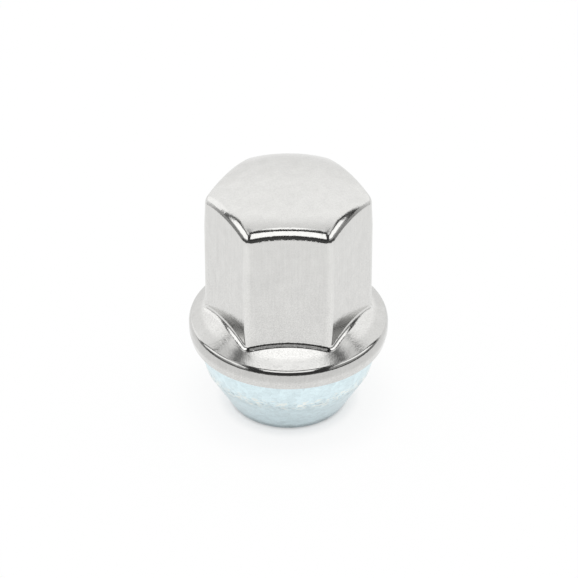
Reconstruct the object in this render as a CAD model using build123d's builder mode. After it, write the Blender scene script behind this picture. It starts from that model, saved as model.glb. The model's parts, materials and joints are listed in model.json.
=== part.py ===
from build123d import *
from math import asin, cos, degrees, radians, sin, sqrt, tan
import os

# Two-piece capped lug nut: a threaded steel core crimped inside a deep-drawn stainless cap.
#
# Frame: millimetres, +Z up the thread axis, origin at the centre of the small end of the
# conical seat. Two of the hexagon's flats face -Y and +Y.

# ---------------------------------------------------------------- wrench and height
across_flats = 21.0          # outside of the cap, for a 21 mm socket
overall_height = 37.4        # foot of the seat to the top of the dome

# ---------------------------------------------------------------- thread M14 x 1.5, right hand
thread_diameter = 14.0
thread_pitch = 1.5
lead_in_clearance = 0.35     # lead-in chamfers open past the thread by this, on the radius

# ---------------------------------------------------------------- sheet of the cap
sheet = 0.5                  # wall of the drawn cap
hex_clearance = 0.05         # cap slides over the core's hexagon
core_corner_radius = 0.25    # vertical corners of the core's hexagon
crown_corner_growth = 2.1    # the cap's corners open out by this much, up to the top of the dome
crown_corner_run = 4.4       # they start this far below the crown's edge

# ---------------------------------------------------------------- crown, a dished dome
dish_radius = 45.0           # middle of the dome, outside
knuckle_radius = 12.8        # shoulder of the dome, outside
knuckle_start = 6.2          # the dish runs out to this radius, and the knuckle goes on from it
crown_edge_bend = 1.2        # inside bend from the dome into the flats

# ---------------------------------------------------------------- flange and crimped rim
flange_overhang = 2.47       # widest part of the rim past the hexagon's corners
flange_slope = 30.0          # degrees from level
root_bend = 0.9              # outside bend from the flats into the flange
fold_bend = 0.08             # inside bend, tight, from the flange into the rim
bow_bend = 1.2               # inside bend, easy, that brings the rim upright
bow_turn = 30.0              # degrees of turn in the easy bend
lip_height = 11.5            # lower edge of the cap
crimp_length = 1.1           # the rim turns inwards over this, down to the lip
rim_upright = 0.95           # upright rim between the crimp and the easy bend
lip_turn = 0.23              # the lip is turned in by this
crimp_clearance = 0.02       # rim and lip round the edge of the core's flange

# ---------------------------------------------------------------- core
crown_gap = 3.0              # top of the core to the corner of the crown's edge
core_chamfer = 30.0          # degrees from level, turned across the hexagon's corners
neck_relief = 0.7            # the core steps in behind the lip
neck_length = 1.35           # upright neck between the lip and the belly
belly_step = 0.93            # the belly narrows by this from the neck to the seat
belly_radius = 60.0          # the belly is slightly barrelled
seat_angle = 60.0            # included angle of the conical seat
foot_land = 1.42             # foot ring past the thread
foot_edge = 0.25             # broken edge round the foot

# ---------------------------------------------------------------- derived: cap
cap_corner_radius = core_corner_radius + hex_clearance + sheet
corner_reach = (across_flats / 2 - cap_corner_radius) / cos(radians(30)) + cap_corner_radius
dish_centre = overall_height - dish_radius
knuckle_turn = asin(knuckle_start / dish_radius)
knuckle_x = (dish_radius - knuckle_radius) * sin(knuckle_turn)
knuckle_z = dish_centre + (dish_radius - knuckle_radius) * cos(knuckle_turn)


def crown_edge_height(inset):
    """Height at which the dome, drawn in by inset, meets the hexagon's corners."""
    return knuckle_z + sqrt((knuckle_radius - inset) ** 2 - (corner_reach - inset - knuckle_x) ** 2)


corner_start = crown_edge_height(0) - crown_corner_run
rim_radius = corner_reach + flange_overhang
crimp_height = lip_height + crimp_length
rim_top = crimp_height + rim_upright
bow_radius = bow_bend + sheet
fold_radius = fold_bend + sheet
lip_radius = rim_radius - lip_turn

# ---------------------------------------------------------------- derived: core
core_inset = sheet + hex_clearance
core_flat = across_flats / 2 - core_inset
core_reach = corner_reach - core_inset
core_height = crown_edge_height(sheet) - crown_gap
bore_radius = (thread_diameter - 1.0825 * thread_pitch) / 2
lead_in_depth = thread_diameter / 2 + lead_in_clearance - bore_radius
neck_radius = lip_radius - sheet - neck_relief
belly_top = lip_height - neck_length
seat_radius = neck_radius - belly_step
foot_radius = thread_diameter / 2 + foot_land
seat_height = (seat_radius - foot_radius) / tan(radians(seat_angle / 2))


def hexagon(height, inset, corner):
    """Rounded hexagon at a height, drawn in by inset from the cap's flats."""
    with BuildSketch(Plane.XY.offset(height)) as outline:
        RegularPolygon(across_flats / 2 - inset, 6, major_radius=False)
        fillet(outline.vertices(), corner)
    return outline.sketch


def flange(inset, clearance=0):
    """Flange with its rim and turned-in lip, filled to the axis and drawn in by inset.

    Clearance draws the rim in further by sliding both bends up the flange's slope, which stays put.
    """
    slope = radians(flange_slope)
    bow = bow_radius - inset
    bow_x = rim_radius - bow_radius - clearance
    bow_z = rim_top + clearance * tan(slope)
    fold = fold_radius - inset
    fold_x = bow_x + (bow_radius - fold_radius) * cos(radians(bow_turn))
    fold_z = bow_z + (bow_radius - fold_radius) * sin(radians(bow_turn))
    fold_end = (fold_x + fold * sin(slope), fold_z + fold * cos(slope))
    flange_peak = (0, fold_end[1] + fold_end[0] * tan(slope))
    with BuildPart() as skirt:
        with BuildSketch(Plane.YZ):
            with BuildLine():
                Polyline(
                    (0, lip_height),
                    (lip_radius - inset - clearance, lip_height),
                    (bow_x + bow, crimp_height),
                    (bow_x + bow, bow_z),
                )
                CenterArc((bow_x, bow_z), bow, 0, bow_turn)
                CenterArc((fold_x, fold_z), fold, bow_turn, 90 - flange_slope - bow_turn)
                Polyline(fold_end, flange_peak, (0, lip_height))
            make_face()
        revolve(axis=Axis.Z)
    return skirt.part


def drawn_form(inset):
    """The cap's envelope, drawn in by inset: a domed hexagon standing on the flange."""
    corner = cap_corner_radius - inset
    knuckle = knuckle_radius - inset
    with BuildPart() as form:
        # hexagon whose corners open out towards the crown
        add(hexagon(lip_height, inset, corner))
        extrude(amount=corner_start - lip_height)
        add(hexagon(corner_start, inset, corner))
        add(hexagon(overall_height, inset, corner + crown_corner_growth))
        loft(ruled=True)
        # dome: a shallow dish and a knuckle round it
        with BuildSketch(Plane.YZ):
            with BuildLine():
                Polyline(
                    (0, overall_height - inset),
                    (0, lip_height),
                    (knuckle_x + knuckle, lip_height),
                    (knuckle_x + knuckle, knuckle_z),
                )
                CenterArc((knuckle_x, knuckle_z), knuckle, 0, 90 - degrees(knuckle_turn))
                CenterArc((0, dish_centre), dish_radius - inset, 90 - degrees(knuckle_turn), degrees(knuckle_turn))
            make_face()
        revolve(axis=Axis.Z, mode=Mode.INTERSECT)
        shoulder = form.faces().sort_by(Axis.Z)[-2]
        fillet(shoulder.edges().filter_by(GeomType.CIRCLE, reverse=True), crown_edge_bend + sheet - inset)
        add(flange(inset))
    return form.part


with BuildPart() as steel_cap:
    add(drawn_form(0))
    # bend all round the root of the flange
    slope_face = steel_cap.faces().filter_by(GeomType.CONE).sort_by(Axis.Z)[-1]
    fillet(slope_face.edges().filter_by(GeomType.CIRCLE, reverse=True), root_bend)
    add(drawn_form(sheet), mode=Mode.SUBTRACT)
steel_cap.part.label = "steel_cap"

with BuildPart() as nut_core:
    # hexagon that the cap slides over, with its corners turned off at the top
    add(hexagon(lip_height, core_inset, core_corner_radius))
    extrude(amount=core_height - lip_height)
    with BuildSketch(Plane.YZ):
        with BuildLine():
            Polyline(
                (0, lip_height),
                (core_reach, lip_height),
                (core_reach, core_height - (core_reach - core_flat) * tan(radians(core_chamfer))),
                (core_flat, core_height),
                (0, core_height),
                close=True,
            )
        make_face()
    revolve(axis=Axis.Z, mode=Mode.INTERSECT)
    # flange that the rim is crimped over
    add(flange(sheet, crimp_clearance))
    # neck, belly and conical seat
    with BuildSketch(Plane.YZ):
        with BuildLine():
            Polyline((0, lip_height), (0, 0), (foot_radius, 0), (seat_radius, seat_height))
            RadiusArc((seat_radius, seat_height), (neck_radius, belly_top), -belly_radius)
            Polyline((neck_radius, belly_top), (neck_radius, lip_height), (0, lip_height))
        make_face()
    revolve(axis=Axis.Z)
    foot = nut_core.faces().sort_by(Axis.Z)[0]
    chamfer(foot.edges(), foot_edge)
    # bore for the stud, with a lead-in at each end
    Hole(bore_radius)
    wall = nut_core.faces().filter_by(GeomType.CYLINDER).sort_by(SortBy.AREA)[-1]
    chamfer(wall.edges().filter_by(GeomType.CIRCLE), lead_in_depth)
nut_core.part.label = "nut_core"

os.makedirs("parts", exist_ok=True)
export_step(steel_cap.part, "parts/steel_cap.step")
export_step(nut_core.part, "parts/nut_core.step")
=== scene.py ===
import json
import math

import bpy
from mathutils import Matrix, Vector


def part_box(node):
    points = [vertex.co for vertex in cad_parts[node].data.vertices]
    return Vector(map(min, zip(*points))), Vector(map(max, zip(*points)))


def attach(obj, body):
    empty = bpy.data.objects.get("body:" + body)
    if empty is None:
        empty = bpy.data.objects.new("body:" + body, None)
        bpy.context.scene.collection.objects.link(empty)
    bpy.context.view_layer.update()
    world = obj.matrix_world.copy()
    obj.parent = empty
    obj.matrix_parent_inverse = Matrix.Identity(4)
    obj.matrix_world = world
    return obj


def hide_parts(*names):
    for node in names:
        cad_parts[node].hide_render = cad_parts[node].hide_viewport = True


# Two-piece capped lug nut: its finishes, the thread in its bore, and a small light tent round it.
# Metres, in the frame's own axes: +Z up the thread, the origin at the foot of the conical seat,
# and two flats of the hexagon facing -Y and +Y.

MM = 0.001

# thread for the wheel stud: M14 x 1.5, right hand
THREAD_DIAMETER = 14.0 * MM
THREAD_PITCH = 1.5 * MM
THREAD_FLANK = math.radians(30)     # half the thread's angle
THREAD_STEPS = 64                   # facets round one turn
CUT_UNDER = 0.15 * MM               # the cutter's root stays inside the bore's wall by this
CUT_PAST = 1.0 * MM                 # the cutter runs past both ends of the core by this
WELD = 0.0005 * MM                  # vertices nearer than this are one
CUT_WELD = 0.002 * MM               # the same, once the thread is cut
SMOOTH_UNDER = math.radians(30)     # edges that turn less than this are shaded smooth

# places on the nut that its finishes follow
FLAT = 10.5 * MM                    # outside of a flat, from the axis
CORNER = 12.0 * MM                  # outside of a corner, from the axis
CORNER_TO_FLAT = math.radians(30)   # round the axis, from a corner to the middle of a flat
CROWN = 33.0 * MM                   # the bend round the crown starts near this height
LIP = 11.5 * MM                     # lower edge of the cap's rim
SEAT_TOP = 6.4 * MM                 # top of the conical seat

# table, and the black surround on it
TABLE_RADIUS = 2.0
SURROUND_OUTER = 1.99
SURROUND_INNER = 0.095
SURROUND_LIFT = 0.2 * MM
SURROUND_BACK = 0.55                # it is open where Y is more than this share of the radius

# strengths in the light tent
OPENING = 0.05                      # dark opening at the front
CLOTH = 0.42                        # grey cloth behind and under the side boxes
BOX = 1.45                          # white boxes at the front and at both sides
EDGE_STRIP = 1.5                    # white strip along the middle of the roof's front edge
GLOW = 1.3                          # bright patch at the left of the back
ROOF_ENDS = (0.86, 0.98)            # roof over the nut, and back straight behind it
ROOF = ((0.18, 0.90), (0.33, 1.08), (0.45, 1.18), (0.84, 1.13))     # between: (how far back, strength)
EVEN = 1.03                         # all round, for matt surfaces
ROOF_CURVE = 0.85                   # the roof's front edge bows back towards the sides by this

# camera
AIM_HEIGHT = 18.9 * MM
CAMERA_DISTANCE = 0.480
CAMERA_ELEVATION = math.radians(35.2)
SENSOR_WIDTH = 36
FOCAL_LENGTH = 207.1
CAMERA_SHIFT = 0.00095

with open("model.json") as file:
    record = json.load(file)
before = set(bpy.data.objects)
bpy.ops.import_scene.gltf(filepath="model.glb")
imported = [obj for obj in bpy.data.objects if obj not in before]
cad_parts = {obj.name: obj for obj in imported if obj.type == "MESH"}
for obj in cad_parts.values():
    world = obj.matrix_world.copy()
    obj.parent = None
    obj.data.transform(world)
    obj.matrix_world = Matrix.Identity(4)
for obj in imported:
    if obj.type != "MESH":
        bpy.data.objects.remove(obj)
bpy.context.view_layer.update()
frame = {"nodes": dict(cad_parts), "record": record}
scene = bpy.context.scene


# ------------------------------------------------------------------ helpers
def only(piece):
    """Leave edit mode, select one piece alone and make it the active one."""
    if bpy.context.mode != "OBJECT":
        bpy.ops.object.mode_set(mode="OBJECT")
    bpy.ops.object.select_all(action="DESELECT")
    piece.select_set(True)
    bpy.context.view_layer.objects.active = piece


def shape(piece):
    """Start work on one piece in edit mode, with all of it selected."""
    only(piece)
    bpy.ops.object.mode_set(mode="EDIT")
    bpy.ops.mesh.select_all(action="SELECT")


def apply(piece, kind, **settings):
    """Add one modifier to a piece and apply it."""
    only(piece)
    modifier = piece.modifiers.new(kind.lower(), kind)
    for name, value in settings.items():
        setattr(modifier, name, value)
    bpy.ops.object.modifier_apply(modifier=modifier.name)


class Nodes:
    """Builder for a shader tree. Apart from add and feed, each call gives back one output."""

    def __init__(self, tree):
        self.tree = tree

    def add(self, kind, settings=None, **inputs):
        """New node: its settings, then its sockets by name, with _ for a space."""
        node = self.tree.nodes.new(kind)
        for name, value in (settings or {}).items():
            setattr(node, name, value)
        for name, value in inputs.items():
            self.feed(node, name.replace("_", " "), value)
        return node

    def feed(self, node, socket, value):
        """Link an output to a socket, or set a plain value on it."""
        if isinstance(value, bpy.types.NodeSocket):
            self.tree.links.new(value, node.inputs[socket])
        else:
            node.inputs[socket].default_value = value

    def math(self, operation, *values):
        node = self.add("ShaderNodeMath", {"operation": operation})
        for index, value in enumerate(values):
            self.feed(node, index, value)
        return node.outputs[0]

    def product(self, first, *others):
        for value in others:
            first = self.math("MULTIPLY", first, value)
        return first

    def sum(self, *terms):
        """Weighted sum of (weight, value) pairs and plain values."""
        total = None
        for term in terms:
            value = self.product(*term) if isinstance(term, tuple) else term
            total = value if total is None else self.math("ADD", total, value)
        return total

    def step(self, value, low, high):
        """0 up to low, 1 from high, and smooth between them."""
        node = self.add("ShaderNodeMapRange", {"interpolation_type": "SMOOTHSTEP"},
                        Value=value, From_Min=low, From_Max=high)
        return node.outputs[0]

    def where(self, *edges):
        """1 inside all of some soft edges, and 0 outside. Each edge is (value, outside, inside)."""
        return self.product(*(self.step(*edge) for edge in edges))

    def mix(self, data_type, sockets, output):
        node = self.add("ShaderNodeMix", {"data_type": data_type})
        for index, value in sockets.items():
            self.feed(node, index, value)
        return node.outputs[output]

    def blend(self, share, first, second):
        """Numbers mixed: first where share is 0, second where it is 1."""
        return self.mix("FLOAT", {0: share, 2: first, 3: second}, 0)

    def blend_colours(self, share, first, second):
        """The same for colours."""
        return self.mix("RGBA", {0: share, 6: first, 7: second}, 2)

    def tint(self, colour, strength):
        """A colour scaled by a number."""
        node = self.add("ShaderNodeVectorMath", {"operation": "SCALE"}, Vector=colour, Scale=strength)
        return node.outputs[0]

    def noise(self, place, size, detail=2.0, along=(1, 1, 1)):
        """Noise from about -1 to 1 with grains of this size, drawn out by along."""
        laid = self.add("ShaderNodeMapping", Vector=place, Scale=tuple(1 / (size * a) for a in along))
        node = self.add("ShaderNodeTexNoise", Vector=laid.outputs[0], Scale=1.0, Detail=detail)
        return self.product(self.math("SUBTRACT", node.outputs[0], 0.5), 3.0)

    def length(self, vector):
        return self.add("ShaderNodeVectorMath", {"operation": "LENGTH"}, Vector=vector).outputs["Value"]

    def split(self, vector):
        """X, Y and Z of a vector."""
        return self.add("ShaderNodeSeparateXYZ", Vector=vector).outputs

    def bump(self, height, distance, **under):
        node = self.add("ShaderNodeBump", Height=height, Strength=1.0, Distance=distance, **under)
        return node.outputs[0]


def new_finish(name):
    """New material: (material, its node builder, its shader, its object coordinates)."""
    made = bpy.data.materials.new(name)
    made.use_nodes = True
    nodes = Nodes(made.node_tree)
    shader = made.node_tree.nodes["Principled BSDF"]
    return made, nodes, shader, nodes.add("ShaderNodeTexCoord").outputs["Object"]


# ------------------------------------------------------------------ finishes
def stainless():
    """Bright drawn stainless: fine grain, faint draw marks, painted corner highlights, a painted dark root
    line, a hazier flange.
    """
    made, nodes, shader, place = new_finish("drawn_stainless")
    x, y, z = nodes.split(place)
    radius = nodes.length(nodes.add("ShaderNodeCombineXYZ", X=x, Y=y).outputs[0])
    grain = nodes.noise(place, 0.17 * MM)
    mottle = nodes.noise(place, 1.4 * MM, 4.0)
    marks = nodes.noise(place, 0.3 * MM, 3.0, along=(1, 1, 14))
    # painted highlight along the corners of the hexagon, which lie every 60 degrees from +X
    turn = nodes.math("PINGPONG", nodes.math("ARCTAN2", y, x), CORNER_TO_FLAT)
    painted_corner_highlight = nodes.where(
        (turn, 0.075, 0.010),
        (radius, CORNER + 0.3 * MM, CORNER + 0.1 * MM),
        (z, CROWN + 1.5 * MM, CROWN),
    )
    # painted shade: a dark line along the root of the front and back flats, standing in for the dark
    # reflection in the bend
    out = nodes.product(radius, nodes.math("COSINE", nodes.math("SUBTRACT", CORNER_TO_FLAT, turn)))
    out = nodes.sum(out, (0.02 * MM, mottle), (0.02 * MM, grain))
    painted_root_shade = nodes.where(
        (out, FLAT + 0.04 * MM, FLAT + 0.09 * MM),
        (out, FLAT + 0.40 * MM, FLAT + 0.30 * MM),
        (z, LIP + 6.5 * MM, LIP + 5.0 * MM),
        (nodes.math("ABSOLUTE", x), 6.3 * MM, 5.7 * MM),
    )
    flange = nodes.where(
        (radius, CORNER + 0.2 * MM, CORNER + 1.0 * MM),
        (z, LIP + 0.9 * MM, LIP + 1.7 * MM),
    )
    # the speckle fades up the flats, and is fainter on the flange
    speckle = nodes.product(
        grain,
        nodes.blend(nodes.step(z, LIP + 3.5 * MM, CROWN + 1.0 * MM), 0.12, 0.030),
        nodes.blend(flange, 1.0, 0.4),
    )
    # the shade holds painted light: a highlight along the corners and a dark line at the root of the flats
    shade = nodes.sum(
        0.676, speckle, (0.035, mottle), (0.032, marks),
        (0.070, painted_corner_highlight), (-0.100, flange), (-0.50, painted_root_shade),
    )
    nodes.feed(shader, "Base Color", nodes.tint((1.0, 0.995, 0.972), shade))
    nodes.feed(shader, "Metallic", 1.0)
    nodes.feed(shader, "Roughness", nodes.sum(0.105, (0.02, mottle)))
    dents = nodes.sum(0.003 * MM, (0.003 * MM, flange))
    nodes.feed(shader, "Normal", nodes.bump(mottle, dents, Normal=nodes.bump(grain, 0.0016 * MM)))
    return made


def blue_zinc():
    """Blue-bright zinc plate: a soft spangle, painted shade on the seat, near the foot and under the rim,
    and a scuffed edge above the seat.
    """
    made, nodes, shader, place = new_finish("blue_zinc")
    z = nodes.split(place)["Z"]
    grain = nodes.noise(place, 0.18 * MM)
    cloud = nodes.noise(place, 1.6 * MM, 4.0)
    spangle = nodes.add("ShaderNodeTexVoronoi", Vector=place, Scale=1 / (0.7 * MM))
    crystal = nodes.add("ShaderNodeSeparateColor", Color=spangle.outputs["Color"]).outputs["Red"]
    # flecks and streaks lie along the turn of the cone
    flecks = nodes.noise(place, 0.28 * MM, 4.0, along=(3, 3, 1))
    streaks = nodes.noise(place, 0.20 * MM, 3.0, along=(6, 6, 1))
    # painted shade: the seat with its ragged top, darker towards the foot, a dark contact line at the
    # bottom edge, and a shadow on the neck under the rim
    ragged = nodes.sum(z, (0.7 * MM, cloud), (0.9 * MM, flecks))
    painted_seat_shade = nodes.step(ragged, SEAT_TOP + 1.2 * MM, SEAT_TOP - 0.6 * MM)
    # painted shade, darker towards the foot
    painted_foot_shade = nodes.step(z, 4.0 * MM, 0.5 * MM)
    # painted contact shadow: a dark line along the bottom edge
    edge = nodes.step(z, 0.30 * MM, 0.15 * MM)
    # painted shadow under the rim
    painted_rim_shade = nodes.step(z, LIP - 0.9 * MM, LIP - 0.1 * MM)
    # bright scuffs and dull flecks in a band round the top of the seat
    band = nodes.where(
        (z, SEAT_TOP - 1.4 * MM, SEAT_TOP),
        (z, SEAT_TOP + 3.0 * MM, SEAT_TOP + 0.6 * MM),
    )
    rubbed = nodes.sum((0.5, cloud), (1.3, flecks), (0.4, grain), (0.8, band))
    scuffs = nodes.product(nodes.step(rubbed, 0.75, 1.25), band)
    dull = nodes.product(nodes.step(nodes.sum((-1.2, flecks), (0.9, streaks)), 0.35, 0.8), band)
    # painted shade in this sum: the seat, towards the foot, the bottom edge and under the rim
    shade = nodes.sum(
        0.885, (0.040, cloud), (0.075, grain), (0.10, crystal), (0.045, streaks),
        (-0.16, painted_seat_shade), (-0.05, painted_foot_shade), (-0.26, dull), (-0.35, edge), (-0.12, painted_rim_shade),
    )
    plated = nodes.tint((0.79, 0.93, 0.97), shade)
    worn = nodes.tint((0.93, 0.96, 0.92), shade)
    nodes.feed(shader, "Base Color", nodes.blend_colours(scuffs, plated, worn))
    nodes.feed(shader, "Metallic", 1.0)
    nodes.feed(shader, "Roughness", nodes.sum(0.30, (0.03, cloud), (0.10, scuffs)))
    relief = nodes.sum((0.5, grain), (0.5, crystal), (0.8, scuffs))
    nodes.feed(shader, "Normal", nodes.bump(relief, 0.004 * MM))
    return made


def paper():
    """White table, part lit by the tent and part even white, so that the shadow on it stays faint."""
    made, nodes, body, place = new_finish("paper")
    nodes.feed(body, "Base Color", (0.96, 0.96, 0.96, 1))
    nodes.feed(body, "Roughness", 0.9)
    nodes.feed(body, "Specular IOR Level", 0.1)
    white = nodes.add("ShaderNodeEmission")
    path = nodes.add("ShaderNodeLightPath")
    seen = nodes.math("ADD", path.outputs["Is Camera Ray"], path.outputs["Is Glossy Ray"])
    seen = nodes.math("ADD", seen, path.outputs["Is Transmission Ray"])
    # less of the even white close to the foot, where the shadow is deepest, and more further out: painted
    # shade fixed round the foot, which deepens the shadow there
    reach = nodes.length(place)
    even = nodes.sum(
        0.28,
        (0.24, nodes.step(reach, 8.5 * MM, 9.0 * MM)),
        (0.28, nodes.step(reach, 9 * MM, 11 * MM)),
        (0.15, nodes.step(reach, 12 * MM, 19 * MM)),
    )
    both = nodes.add("ShaderNodeMixShader", Fac=nodes.product(seen, even))
    nodes.feed(both, 1, body.outputs["BSDF"])
    nodes.feed(both, 2, white.outputs["Emission"])
    nodes.feed(made.node_tree.nodes["Material Output"], "Surface", both.outputs["Shader"])
    return made


def black_paper():
    """Black at the front, and paler towards the back of both sides."""
    made, nodes, body, place = new_finish("black_paper")
    way = nodes.add("ShaderNodeVectorMath", {"operation": "NORMALIZE"}, Vector=place).outputs[0]
    back = nodes.split(way)["Y"]
    pale = nodes.blend(nodes.step(back, -0.1, 0.25), 0.03, 0.28)
    pale = nodes.blend(nodes.step(back, 0.26, 0.5), pale, 0.90)
    nodes.feed(body, "Base Color", nodes.tint((1, 1, 1), pale))
    nodes.feed(body, "Roughness", 0.9)
    return made


# ------------------------------------------------------------------ threaded core
def thread_cutter(bore, low, high):
    """Stud-shaped cutter: one turn of the thread's outline screwed up past both ends."""
    root = bore - CUT_UNDER
    out = THREAD_DIAMETER / 2 - root
    flank = out * math.tan(THREAD_FLANK)
    crest = THREAD_PITCH / 8
    start = low - CUT_PAST - 2 * THREAD_PITCH
    bpy.ops.object.select_all(action="DESELECT")
    bpy.ops.mesh.primitive_plane_add(size=THREAD_PITCH, location=(root, 0, start))
    cutter = bpy.context.object
    only(cutter)
    bpy.ops.object.transform_apply(location=True, rotation=False, scale=False)
    # the plane shrinks to one point, and one turn of the outline is drawn out from it
    shape(cutter)
    bpy.ops.mesh.merge(type="CENTER")
    for run in ((0, 0, THREAD_PITCH - crest - 2 * flank), (out, 0, flank), (0, 0, crest), (-out, 0, flank)):
        bpy.ops.mesh.extrude_region_move(TRANSFORM_OT_translate={"value": run})
    apply(
        cutter, "SCREW", axis="Z", angle=math.tau, screw_offset=THREAD_PITCH,
        iterations=math.ceil((high + CUT_PAST - start) / THREAD_PITCH) + 1,
        steps=THREAD_STEPS, render_steps=THREAD_STEPS, use_smooth_shade=False,
    )
    # both ends are cut level and closed
    shape(cutter)
    bpy.ops.mesh.remove_doubles(threshold=WELD)
    for height, up in ((low - CUT_PAST, -1), (high + CUT_PAST, 1)):
        bpy.ops.mesh.select_all(action="SELECT")
        bpy.ops.mesh.bisect(plane_co=(0, 0, height), plane_no=(0, 0, up), use_fill=True, clear_outer=True)
    bpy.ops.mesh.select_all(action="SELECT")
    bpy.ops.mesh.normals_make_consistent(inside=False)
    bpy.ops.object.mode_set(mode="OBJECT")
    return cutter


def threaded_core():
    """The plated core: a merged copy of the solid with the thread cut in its bore."""
    blank = frame["nodes"]["nut_core"]
    low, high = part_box("nut_core")
    stud = next(mount for mount in frame["record"]["mounts"] if mount["name"] == "stud_thread")
    core = bpy.data.objects.new("threaded_core", blank.data.copy())
    core.data.transform(blank.matrix_world)
    scene.collection.objects.link(core)
    shape(core)
    bpy.ops.mesh.customdata_custom_splitnormals_clear()
    bpy.ops.mesh.remove_doubles(threshold=WELD)
    bpy.ops.object.mode_set(mode="OBJECT")
    cutter = thread_cutter(stud["dims"]["r_mm"] * MM, low[2], high[2])
    apply(core, "BOOLEAN", operation="DIFFERENCE", object=cutter, solver="EXACT")
    bpy.data.objects.remove(cutter)
    shape(core)
    bpy.ops.mesh.remove_doubles(threshold=CUT_WELD)
    bpy.ops.mesh.dissolve_degenerate(threshold=WELD)
    only(core)
    bpy.ops.object.shade_smooth_by_angle(angle=SMOOTH_UNDER)
    core.data.materials.clear()
    core.data.materials.append(blue_zinc())
    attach(core, "root")
    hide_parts("nut_core")


# ------------------------------------------------------------------ table, tent and camera
def table():
    """Round white table."""
    bpy.ops.object.select_all(action="DESELECT")
    bpy.ops.mesh.primitive_circle_add(
        vertices=64, radius=TABLE_RADIUS, fill_type="NGON", location=(0, 0, 0),
    )
    floor = bpy.context.object
    floor.name = "floor"
    floor.data.materials.append(paper())


def black_surround():
    """Ring of black paper on the table, open at the back, which shows only in the metal."""
    bpy.ops.object.select_all(action="DESELECT")
    bpy.ops.mesh.primitive_circle_add(
        vertices=96, radius=SURROUND_OUTER, fill_type="NOTHING", location=(0, 0, SURROUND_LIFT),
    )
    surround = bpy.context.object
    surround.name = "black_surround"
    bpy.ops.object.transform_apply(location=True, rotation=False, scale=False)
    # drawn in to the ring's inner edge, and opened at the back
    shape(surround)
    bpy.ops.mesh.extrude_region_move()
    inward = SURROUND_INNER / SURROUND_OUTER
    bpy.ops.transform.resize(value=(inward, inward, 1), center_override=(0, 0, 0))
    bpy.ops.mesh.select_all(action="DESELECT")
    bpy.ops.object.mode_set(mode="OBJECT")
    for vertex in surround.data.vertices:
        vertex.select = vertex.co.y > SURROUND_BACK * math.hypot(vertex.co.x, vertex.co.y)
    bpy.ops.object.mode_set(mode="EDIT")
    bpy.ops.mesh.delete(type="VERT")
    bpy.ops.object.mode_set(mode="OBJECT")
    surround.data.materials.append(black_paper())
    surround.visible_camera = False
    surround.visible_diffuse = False
    surround.visible_shadow = False


def light_tent():
    """Tent round the nut: pale roof and back, white boxes, grey cloth, and a dark opening in front.

    Its edges are places on a unit direction: x to the right, y to the back and z up.
    """
    world = bpy.data.worlds.new("light_tent")
    scene.world = world
    world.use_nodes = True
    sky = Nodes(world.node_tree)
    x, y, z = sky.split(sky.add("ShaderNodeTexCoord").outputs["Generated"])
    aside = sky.math("ABSOLUTE", x)
    right = sky.step(x, -0.05, 0.05)
    left = sky.math("SUBTRACT", 1.0, right)
    # the roof starts at a bowed edge just in front of the zenith, and comes forward at both sides
    behind = sky.math("SUBTRACT", y, sky.product(x, x, ROOF_CURVE))
    ends = sky.where((aside, 0.48, 0.54), (z, 0.74, 0.78))
    roof = sky.math("MAXIMUM", ends, sky.step(behind, -0.03, 0.0))
    # the back starts a little later on the right, and a patch glows at its left
    back_edge = sky.sum(0.30, (0.05, right))
    back = sky.step(y, back_edge, sky.math("ADD", back_edge, 0.07))
    glow = sky.product(sky.where((aside, 0.6, 0.7), (z, 0.6, 0.5)), left, back)
    shades = sky.add("ShaderNodeValToRGB", Fac=y)
    elements = shades.color_ramp.elements
    for element, value in zip(elements, ROOF_ENDS):
        element.color = (value, value, value, 1)
    for position, value in ROOF:
        elements.new(position).color = (value, value, value, 1)
    # white boxes: one in front, and one at each side with a higher sill on the right
    front_box = sky.where((behind, -0.46, -0.50), (z, 0.32, 0.36), (aside, 0.42, 0.38))
    sill = sky.sum(0.12, (0.10, right))
    side_box = sky.where(
        (z, sill, sky.math("ADD", sill, 0.05)), (z, 0.68, 0.64), (aside, 0.68, 0.72), (y, 0.25, 0.20),
    )
    edge_strip = sky.where((behind, -0.18, -0.15), (aside, 0.50, 0.31))
    cloth = sky.where((z, -0.02, 0.03), (aside, 0.68, 0.72), (y, 0.26, 0.20))
    light = sky.blend(cloth, OPENING, CLOTH)
    light = sky.blend(sky.math("MAXIMUM", front_box, side_box), light, BOX)
    light = sky.blend(edge_strip, light, EDGE_STRIP)
    light = sky.blend(sky.math("MAXIMUM", roof, back), light, shades.outputs["Color"])
    light = sky.blend(glow, light, GLOW)
    # matt surfaces are lit evenly, and a low camera sees plain white past the table
    path = sky.add("ShaderNodeLightPath")
    light = sky.blend(path.outputs["Is Diffuse Ray"], light, EVEN)
    light = sky.blend(path.outputs["Is Camera Ray"], light, 1.0)
    background = world.node_tree.nodes["Background"]
    sky.feed(background, "Color", (1, 1, 1, 1))
    sky.feed(background, "Strength", light)


def camera():
    """Camera in front of the nut and above it."""
    lens = bpy.data.cameras.new("camera")
    lens.lens = FOCAL_LENGTH
    lens.sensor_width = SENSOR_WIDTH
    lens.shift_x = CAMERA_SHIFT
    lens.clip_start = 0.01
    cam = bpy.data.objects.new("camera", lens)
    scene.collection.objects.link(cam)
    target = Vector((0, 0, AIM_HEIGHT))
    away = Vector((0, -math.cos(CAMERA_ELEVATION), math.sin(CAMERA_ELEVATION)))
    cam.location = target + CAMERA_DISTANCE * away
    cam.rotation_euler = (target - cam.location).to_track_quat("-Z", "Y").to_euler()
    scene.camera = cam


for held in frame["nodes"]["steel_cap"].material_slots:
    held.material = stainless()
threaded_core()
table()
black_surround()
light_tent()
camera()

scene.view_settings.view_transform = "Standard"
